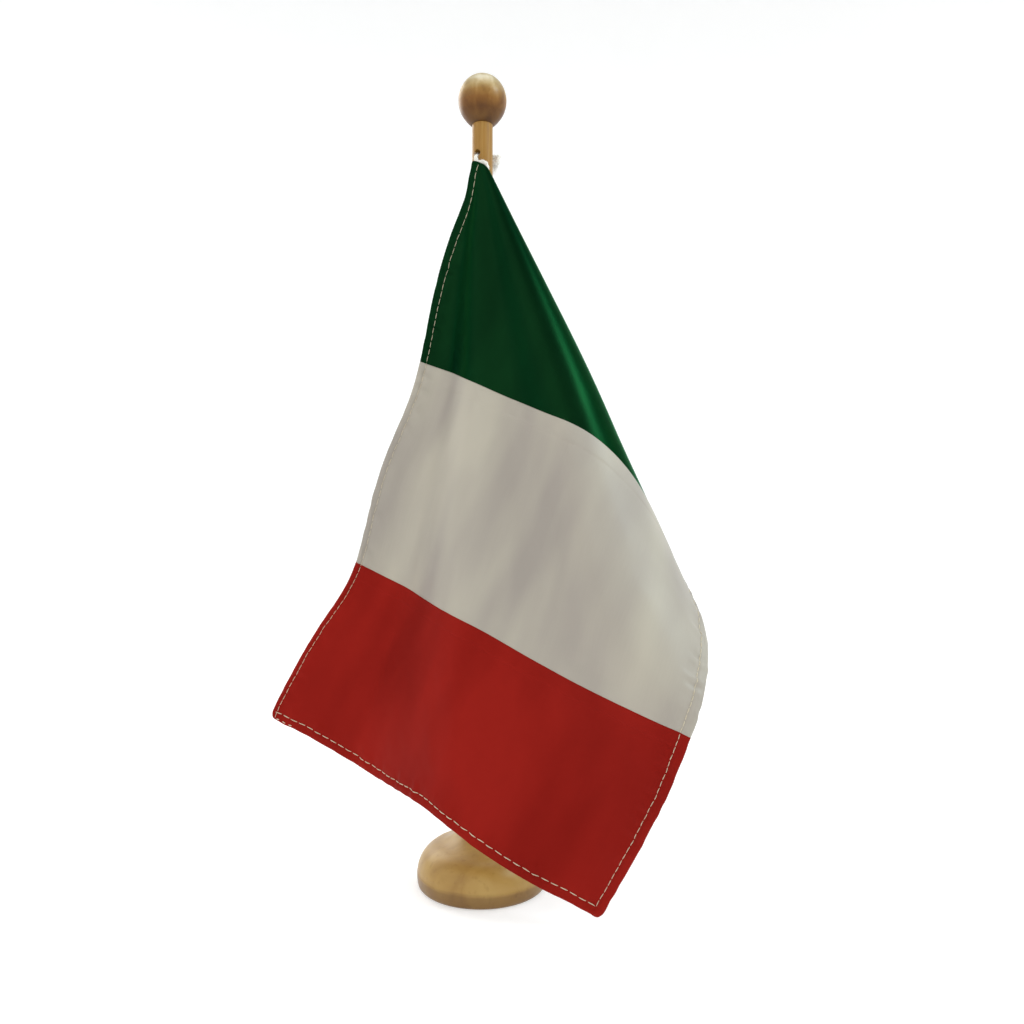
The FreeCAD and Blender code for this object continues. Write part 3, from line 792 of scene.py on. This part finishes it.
def fuzz(path, radius, per_length, length, thickness, random):
    """Fine fibres that stand out of a yarn."""
    parts = []
    count = int(lengths_along(path)[-1] * per_length)
    along, side, lift = frames(path)
    for _ in range(count):
        i = random.integers(1, len(path) - 1)
        angle = random.uniform(0, 2 * math.pi)
        out = side[i] * math.cos(angle) + lift[i] * math.sin(angle)
        way = out * random.uniform(0.2, 1.0) + along[i] * random.uniform(-1, 1)
        way /= np.linalg.norm(way)
        parts.append(fibre(path[i] + out * radius * 0.85, way, random.uniform(0.4, 1) * length,
                           thickness, random))
    return parts


def make_cord(made):
    random = np.random.default_rng(SEED + 60)
    path = even(route(CORD_ROUTE), 0.45)
    fluffy = [path[path[:, 2] > 256], path[path[:, 2] < 126]]
    squeezed = 1 - 0.48 * np.exp(-(np.linalg.norm(path - np.array(CORD_PINCH), axis=1) / 1.7) ** 2)
    parts = [twisted(path, CORD_RADIUS * squeezed, 4.6)]
    for stretch in fluffy:
        parts += fuzz(stretch, CORD_RADIUS, 16, 0.75, FIBRE, random)
    piece = new_mesh("twisted_cord", *gather_up(parts), "cord_cotton", "mast", made)
    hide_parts("hoist_cord")


def make_knot(name, hole, node, made):
    """The cord's end in a tight knot behind its hole, with a frayed tail below."""
    random = np.random.default_rng(SEED + int(hole))
    middle = np.array([KNOT[0], KNOT[1], hole + KNOT_RISE])
    t = np.linspace(0, 2 * math.pi, 150)
    flat_x, flat_z = np.sin(t) + 2 * np.sin(2 * t), np.cos(t) - 2 * np.cos(2 * t)
    up = np.array([0, 0, 1])
    path = middle + (HOLE_SIDE * flat_x[:, None] + up * flat_z[:, None]) * KNOT_SIZE
    path = path + HOLE_BACK * (-np.sin(3 * t) * KNOT_DEPTH)[:, None]
    parts = [twisted(path, KNOT_YARN, 3.6)]
    parts += fuzz(path, KNOT_YARN, 11, 0.7, FIBRE, random)
    for _ in range(TUFT_FIBRES):
        angle, share = random.uniform(0, 2 * math.pi), math.sqrt(random.uniform(0, 1))
        spread = np.array([math.cos(angle), math.sin(angle), 0]) * share
        start = middle + spread * 0.75 + np.array([0, 0, -1.1])
        end = middle + spread * 1.0 + np.array([-0.5, 0, -3.4 - random.uniform(0, 1.1)])
        way = end - start
        length = np.linalg.norm(way)
        way = way / length + random.normal(0, 0.06, 3)
        parts.append(fibre(start, way, length * 0.85, 0.05, random))
    piece = new_mesh(name, *gather_up(parts), "cord_cotton", "mast", made)
    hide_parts(node)


def sleeve_profile(flap):
    """Middle line of the tape from above: along the flag, round the cord and back along the
    flag. flap is how far it reaches."""
    x, y = SLEEVE
    points = [(x + flap * k / 6, y - SLEEVE_LOOP - 0.06) for k in range(6, 0, -1)]
    for k in range(25):
        angle = -math.pi / 2 - k * (math.pi * 2 - 0.75) / 24
        points.append((x + SLEEVE_LOOP * math.cos(angle), y + SLEEVE_LOOP * math.sin(angle)))
    points += [(x + 1.2 + (flap - 1.4) * k / 5, y - SLEEVE_LOOP + 0.26) for k in range(1, 6)]
    return np.array(points)


def make_sleeve(made, thread):
    """The tape that the cord runs in, folded round it, and its stitches through the flag."""
    outer, inner = [], []
    heights = np.linspace(SLEEVE_BOTTOM, SLEEVE_TOP, 140)
    for height in heights:
        flap = FLAP - FLAP_NARROW * float(step(height, FLAP_TOP - 7, FLAP_TOP + 2))
        line = sleeve_profile(flap)
        way = np.gradient(line, axis=0)
        way /= np.linalg.norm(way, axis=1)[:, None]
        off = np.stack([-way[:, 1], way[:, 0]], 1) * SLEEVE_TAPE
        for face, sign in ((outer, 1), (inner, -1)):
            ring = line + off * sign
            face.append(np.column_stack([ring, np.full(len(ring), height)]))
    outer, inner = np.array(outer), np.array(inner)
    wave = 0.05 * ripple(heights, 5.0, 71)
    outer[:, :, 1] += wave[:, None]
    inner[:, :, 1] += wave[:, None]
    u, v = np.meshgrid(heights, np.linspace(0, SLEEVE_WIDTH, outer.shape[1]), indexing="ij")
    points, faces, flats = closed_sheet(u, v, outer, inner)
    piece = new_mesh("sleeve_tape", points, faces, "sleeve_tape", "flag", made)
    add_flat_map(piece, flats)
    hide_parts("hoist_sleeve")
    make_sleeve_stitches(thread)


def make_sleeve_stitches(thread):
    """The row along the sleeve's back flap, which sews it to the flag."""
    random = np.random.default_rng(SEED + 72)
    parts = []
    side, back = SLEEVE[0] + 4.7, SLEEVE[1] - SLEEVE_LOOP + 0.26 + SLEEVE_TAPE
    for low in np.arange(SLEEVE_BOTTOM + 1.5, FLAP_TOP - 8, 2.6):
        t = np.linspace(0, 1, 7)
        x = np.full(7, side + random.uniform(-0.08, 0.08))
        base = np.stack([x, np.full(7, back), low + 2.45 * t], -1)
        parts.append(stitch_form(base, np.array([(0.0, 1.0, 0.0)] * 7), 0.17, 0.12))
    piece = new_mesh("sleeve_stitches", *gather_up(parts), "stitch_thread", "flag", thread)
    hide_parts("hoist_thread")


# ------ wooden pieces

def foot_profile():
    """Outline of the foot, a little fuller at the shoulder than the CAD foot. Its lowest edge
    is rounded and the crisp ones are eased."""
    points = [(0, 0.0), (21.6, 0.0), (22.7, 0.1), (23.4, 0.4), (23.85, 0.95), (24.05, 1.7)]
    points += [(24.15, 2.6), (24.2, 4.0), (24.2, 5.05), (24.15, 5.3), (24.0, 5.5)]
    points += arc(FOOT_RIM, FOOT_SHOULDER, SHOULDER_CURVE, 1, 22)[1:]
    points += arc(FOOT_SHOULDER, FOOT_NECK, NECK_CURVE, -1, 22)
    points += [(5.5, 24.15), (5.3, 24.28), (4.2, 24.3), (3.95, 24.1), (SOCKET, 23.8)]
    points += [(SOCKET, SOCKET_FLOOR), (0, SOCKET_FLOOR)]
    return points


def ball_profile():
    """The ball on its short taper, open below, where the pole goes in."""
    points = [(3.85, 282.2), (4.2, 282.25), (4.45, 282.45), (5.3, 283.2), (6.1, 284.05)]
    start = math.asin((BALL_LOWEST - BALL_CENTRE) / BALL_HALF_HEIGHT)
    for i in range(41):
        angle = start + (math.pi / 2 - start) * (i + 0.4) / 40.4
        points.append((BALL_RADIUS * math.cos(angle), BALL_CENTRE + BALL_HALF_HEIGHT * math.sin(angle)))
    points[-1] = (0, BALL_CENTRE + BALL_HALF_HEIGHT)
    return points


def make_turned(name, profile, segments, slot, body, made, node):
    points, faces = lathe(profile, segments)
    piece = new_mesh(name, points, faces, slot, body, made)
    piece.data.set_sharp_from_angle(angle=math.radians(50))
    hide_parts(node)


# ------ materials

def material(name, **values):
    """A new material, with values set straight on its Principled shader."""
    made = bpy.data.materials.new(name)
    made.use_nodes = True
    shader = made.node_tree.nodes["Principled BSDF"]
    for socket, value in values.items():
        shader.inputs[socket.replace("_", " ")].default_value = value
    return made, shader


def add_node(made, kind, place=None, **values):
    """A node with the named inputs set; place is the socket that feeds its first input."""
    node = made.node_tree.nodes.new(kind)
    for socket, value in values.items():
        node.inputs[socket.replace("_", " ")].default_value = value
    if place is not None:
        made.node_tree.links.new(place, node.inputs[0])
    return node


def shade_ramp(made, factor, stops):
    ramp = made.node_tree.nodes.new("ShaderNodeValToRGB")
    elements = ramp.color_ramp.elements
    while len(elements) < len(stops):
        elements.new(0.5)
    for element, (place, colour) in zip(elements, stops):
        element.position = place
        element.color = (*colour, 1)
    made.node_tree.links.new(factor, ramp.inputs[0])
    return ramp


def srgb(*screen):
    """Linear colour of an 8-bit screen colour."""
    linear = []
    for value in screen:
        c = value / 255
        linear.append(c / 12.92 if value <= 10 else ((c + 0.055) / 1.055) ** 2.4)
    return tuple(linear)


def satin(name, colour, deep, gloss, level, roughness, sheen, metal=0.0):
    """Woven polyester satin: fine threads both ways with long shiny floats. The dye colours
    the gloss too."""
    made, shader = material(
        name, Roughness=roughness, Specular_IOR_Level=level, Specular_Tint=(*gloss, 1),
        Sheen_Weight=sheen, Sheen_Roughness=0.5, Sheen_Tint=(*gloss, 1), Metallic=metal)
    tree = made.node_tree
    flat = tree.nodes.new("ShaderNodeUVMap")
    flat.uv_map = "flat"
    stretch = add_node(made, "ShaderNodeMapping", flat.outputs[0])
    stretch.inputs["Scale"].default_value = (90, 2600, 1)
    threads = add_node(made, "ShaderNodeTexNoise", stretch.outputs[0], Scale=1.0, Detail=3.0)
    # The second, broad noise darkens the cloth in soft patches toward its deep colour. This is partly
    # the satin's uneven tone and partly painted shade of soft folds.
    drift = add_node(made, "ShaderNodeMapping", flat.outputs[0])
    drift.inputs["Scale"].default_value = (13, 38, 1)
    tone_and_painted_shade = add_node(made, "ShaderNodeTexNoise", drift.outputs[0], Scale=1.0, Detail=2.0)
    mixed = tree.nodes.new("ShaderNodeMix")
    mixed.inputs["Factor"].default_value = 0.94
    tree.links.new(threads.outputs["Fac"], mixed.inputs["A"])
    tree.links.new(tone_and_painted_shade.outputs["Fac"], mixed.inputs["B"])
    ramp = shade_ramp(made, mixed.outputs["Result"], [(0.36, colour), (0.64, deep)])
    tree.links.new(ramp.outputs[0], shader.inputs["Base Color"])
    warp = add_node(made, "ShaderNodeTexWave", flat.outputs[0], Scale=1000.0)
    weft = add_node(made, "ShaderNodeTexWave", flat.outputs[0], Scale=900.0)
    weft.bands_direction = "Y"
    crossed = tree.nodes.new("ShaderNodeMath")
    crossed.operation = "MULTIPLY"
    tree.links.new(warp.outputs["Fac"], crossed.inputs[0])
    tree.links.new(weft.outputs["Fac"], crossed.inputs[1])
    weave = add_node(made, "ShaderNodeBump", Strength=0.35, Distance=0.00003)
    tree.links.new(crossed.outputs[0], weave.inputs["Height"])
    floats = add_node(made, "ShaderNodeBump", Strength=0.3, Distance=0.00004)
    tree.links.new(threads.outputs["Fac"], floats.inputs["Height"])
    tree.links.new(weave.outputs[0], floats.inputs["Normal"])
    tree.links.new(floats.outputs[0], shader.inputs["Normal"])
    return made


def wood(name, light, mid, dark, stretch, coat, haze, bands):
    """Lacquered wood: streaks along the grain with fine dark pores. haze is how rough the
    lacquer is. bands is (height in millimetres, shade) pairs that darken or lighten the wood
    up its height, as painted shade and painted highlights."""
    made, shader = material(
        name, Roughness=0.42, Specular_IOR_Level=0.12, Coat_Weight=coat, Coat_Roughness=haze)
    tree = made.node_tree
    place = tree.nodes.new("ShaderNodeTexCoord")
    grain = add_node(made, "ShaderNodeMapping", place.outputs["Object"])
    grain.inputs["Scale"].default_value = stretch
    broad = add_node(made, "ShaderNodeTexNoise", grain.outputs[0], Scale=1.0, Detail=4.0, Distortion=0.6)
    ramp = shade_ramp(made, broad.outputs["Fac"], [(0.30, dark), (0.48, mid), (0.72, light)])
    pores = add_node(made, "ShaderNodeTexNoise", grain.outputs[0], Scale=6.0, Detail=2.0)
    flecks = shade_ramp(made, pores.outputs["Fac"], [(0.28, (0.86, 0.82, 0.76)), (0.42, (1, 1, 1))])
    grained = multiply(made, ramp.outputs[0], flecks.outputs[0], 0.8)
    # The height bands multiply painted shade and painted highlights into the base colour.
    painted_light = paint_light_by_height(made, place.outputs["Object"], bands)
    shaded = multiply(made, grained, painted_light.outputs[0], 1.0)
    tree.links.new(shaded, shader.inputs["Base Color"])
    add_bump(made, shader, pores.outputs["Fac"], 0.15)
    return made


def multiply(made, first, second, share):
    """The product of two colour sockets; share is how much of the second counts."""
    mixed = made.node_tree.nodes.new("ShaderNodeMix")
    mixed.data_type = "RGBA"
    mixed.blend_type = "MULTIPLY"
    mixed.inputs["Factor"].default_value = share
    made.node_tree.links.new(first, mixed.inputs["A"])
    made.node_tree.links.new(second, mixed.inputs["B"])
    return mixed.outputs["Result"]


def paint_light_by_height(made, place, bands):
    """Paints light and shade into the colour up the height of the object, with slightly uneven borders:
    painted shade and painted highlights.
    """
    tree = made.node_tree
    height = add_node(made, "ShaderNodeSeparateXYZ", place)
    wander = add_node(made, "ShaderNodeTexNoise", place, Scale=90.0, Detail=2.0)
    uneven = tree.nodes.new("ShaderNodeMath")
    uneven.operation = "MULTIPLY_ADD"
    tree.links.new(wander.outputs["Fac"], uneven.inputs[0])
    uneven.inputs[1].default_value = 0.0016
    tree.links.new(height.outputs["Z"], uneven.inputs[2])
    low, high = bands[0][0] * MM, bands[-1][0] * MM
    ranged = add_node(made, "ShaderNodeMapRange", uneven.outputs[0], From_Min=low, From_Max=high)
    stops = [((at * MM - low) / (high - low), shade) for at, shade in bands]
    return shade_ramp(made, ranged.outputs[0], stops)


def add_bump(made, shader, height, strength):
    bump = add_node(made, "ShaderNodeBump", Strength=strength, Distance=0.00006)
    made.node_tree.links.new(height, bump.inputs["Height"])
    made.node_tree.links.new(bump.outputs[0], shader.inputs["Normal"])


def yarn(name, colour, deep, scale):
    """Cotton or polyester thread with its fibres."""
    made, shader = material(name, Roughness=0.8, Specular_IOR_Level=0.25, Sheen_Weight=0.4)
    tree = made.node_tree
    place = tree.nodes.new("ShaderNodeTexCoord")
    fibre = add_node(made, "ShaderNodeTexNoise", place.outputs["Object"], Scale=scale, Detail=3.0)
    ramp = shade_ramp(made, fibre.outputs["Fac"], [(0.3, deep), (0.65, colour)])
    tree.links.new(ramp.outputs[0], shader.inputs["Base Color"])
    add_bump(made, shader, fibre.outputs["Fac"], 0.5)
    return made


# Heights in millimetres, and how the wood's colour is multiplied there. On the foot and the ball these
# are painted light: painted shade low down and painted highlights high up.
EVEN = [(0, (1, 1, 1)), (300, (1, 1, 1))]
# Foot: painted shade on the rim, which faces a little downward, and a painted highlight, a whitish
# sheen, toward the neck.
FOOT_PAINTED_LIGHT = [
    (0, (0.44, 0.37, 0.26)),
    (5.2, (0.56, 0.50, 0.40)),
    (6.6, (0.97, 0.98, 0.92)),
    (16, (1.02, 1.03, 0.96)),
    (24, (1.2, 1.45, 1.65)),
]
# Ball: painted shade on its lower half and a painted highlight, a whitish cap, on its top.
BALL_PAINTED_LIGHT = [
    (282, (0.62, 0.70, 0.70)),
    (287, (0.70, 0.68, 0.48)),
    (290, (1.25, 1.35, 1.3)),
    (292.5, (1.8, 2.5, 4.0)),
    (294.5, (2.6, 4.8, 14)),
    (298, (3.0, 6.6, 27)),
    (301, (2.9, 6.0, 22)),
]


def make_cloths():
    """The flag's materials."""
    white_gloss = (1, 1, 1)
    green = satin("green_satin", srgb(11, 43, 20), srgb(8, 35, 16), (0.0, 0.5, 0.25),
                  level=0.03, roughness=0.28, sheen=0.10, metal=0.75)
    white = satin("white_satin", srgb(173, 167, 153), srgb(150, 143, 135), white_gloss,
                  level=0.35, roughness=0.45, sheen=0.06)
    red = satin("red_satin", srgb(139, 30, 24), srgb(122, 24, 19), (1.0, 0.10, 0.06),
                level=0.03, roughness=0.50, sheen=0.03)
    tape = satin("sleeve_tape", srgb(216, 210, 198), srgb(198, 191, 178), white_gloss,
                 level=0.2, roughness=0.7, sheen=0.1)
    return {"green": green, "white": white, "red": red, "tape": tape}


def make_yarns():
    """The thread's and the cord's materials."""
    thread = yarn("stitch_thread", srgb(212, 200, 174), srgb(192, 178, 150), 2500.0)
    cotton = yarn("cord_cotton", srgb(244, 241, 234), srgb(220, 215, 206), 2500.0)
    return thread, cotton


def make_woods():
    """The materials of the pole, the foot and the ball."""
    pole = wood("pole_wood", srgb(158, 120, 60), srgb(148, 108, 48), srgb(134, 94, 38),
                (900, 900, 30), coat=0.25, haze=0.35, bands=EVEN)
    foot = wood("foot_wood", srgb(176, 143, 78), srgb(164, 128, 64), srgb(149, 112, 52),
                (70, 110, 60), coat=0.7, haze=0.40, bands=FOOT_PAINTED_LIGHT)
    ball = wood("ball_wood", srgb(122, 80, 32), srgb(108, 67, 22), srgb(92, 54, 17),
                (200, 200, 120), coat=0.3, haze=0.30, bands=BALL_PAINTED_LIGHT)
    return pole, foot, ball


# ------ studio

def add_camera():
    data = bpy.data.cameras.new("camera")
    data.sensor_width = SENSOR
    data.lens = LENS
    camera = bpy.data.objects.new("camera", data)
    camera.location = [c * MM for c in CAMERA]
    camera.rotation_euler = (math.pi / 2, 0, 0)
    bpy.context.scene.collection.objects.link(camera)
    bpy.context.scene.camera = camera


def add_stage():
    """A pale floor that sweeps up into a round pale wall."""
    profile = [(FLOOR_RADIUS * i / 3, 0.0) for i in range(4)]
    for i in range(1, SWEEP_STEPS + 1):
        angle = math.pi / 2 * i / SWEEP_STEPS
        rise = SWEEP_RADIUS * (1 - math.cos(angle))
        profile.append((FLOOR_RADIUS + SWEEP_RADIUS * math.sin(angle), rise))
    profile.append((FLOOR_RADIUS + SWEEP_RADIUS, WALL_TOP))
    points, faces = lathe(profile, 96)
    mesh = bpy.data.meshes.new("floor")
    mesh.from_pydata([tuple(c * MM for c in p) for p in points], [], faces)
    mesh.shade_smooth()
    floor = bpy.data.objects.new("floor", mesh)
    bpy.context.scene.collection.objects.link(floor)
    made, _ = material(
        "floor_paint", Base_Color=(0.66, 0.66, 0.66, 1), Roughness=0.9, Specular_IOR_Level=0.0,
        Emission_Color=(1, 1, 1, 1), Emission_Strength=0.46)
    floor.data.materials.append(made)


def add_light(name, place, aim_height, size, power, colour):
    data = bpy.data.lights.new(name, "AREA")
    data.shape = "DISK"
    data.size = size
    data.energy = power
    data.color = colour
    light = bpy.data.objects.new(name, data)
    light.location = place
    way = Vector((0, 0, aim_height)) - Vector(place)
    light.rotation_euler = way.to_track_quat("-Z", "Y").to_euler()
    light.visible_camera = False
    bpy.context.scene.collection.objects.link(light)


def add_lights():
    world = bpy.data.worlds.new("world")
    world.use_nodes = True
    background = world.node_tree.nodes["Background"]
    background.inputs["Color"].default_value = (1, 1, 1, 1)
    background.inputs["Strength"].default_value = 0.14
    bpy.context.scene.world = world
    bpy.context.scene.view_settings.view_transform = "Standard"
    for light in LIGHTS:
        add_light(*light)


# ------ the object

def make_flag():
    """The three stripes with their hems, seams and stitches, the sleeve, cord and knots."""
    cloths = make_cloths()
    thread, cotton = make_yarns()
    settle()
    for i, name in enumerate(("green", "white", "red")):
        panel = make_panel(name + "_stripe", i, name + "_satin", cloths[name])
        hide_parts(name + "_panel")
    stitches = make_stitches(thread)
    for hem in ("top_hem", "bottom_hem", "fly_hem"):
        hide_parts(hem + "_thread")
    for seam in ("green_seam", "red_seam"):
        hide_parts(seam + "_thread")
    make_allowance("green_allowance", STRIPE, "green_satin", cloths["green"])
    make_allowance("white_allowance", 2 * STRIPE, "white_satin", cloths["white"])
    make_sleeve(cloths["tape"], thread)
    make_cord(cotton)
    make_knot("upper_cord_knot", UPPER_HOLE, "upper_knot", cotton)
    make_knot("lower_cord_knot", LOWER_HOLE, "lower_knot", cotton)


def make_stand():
    """The foot and the ball, turned, and the CAD pole in its wood."""
    pole_wood, foot_wood, ball_wood = make_woods()
    make_turned("turned_foot", foot_profile(), 160, "foot_wood", "stand", foot_wood, "base_foot")
    make_turned("turned_ball", ball_profile(), 96, "ball_wood", "mast", ball_wood, "finial_ball")
    dress(bpy.data.objects["pole"], pole_wood)


def main():
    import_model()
    add_camera()
    make_flag()
    make_stand()
    add_stage()
    add_lights()


main()
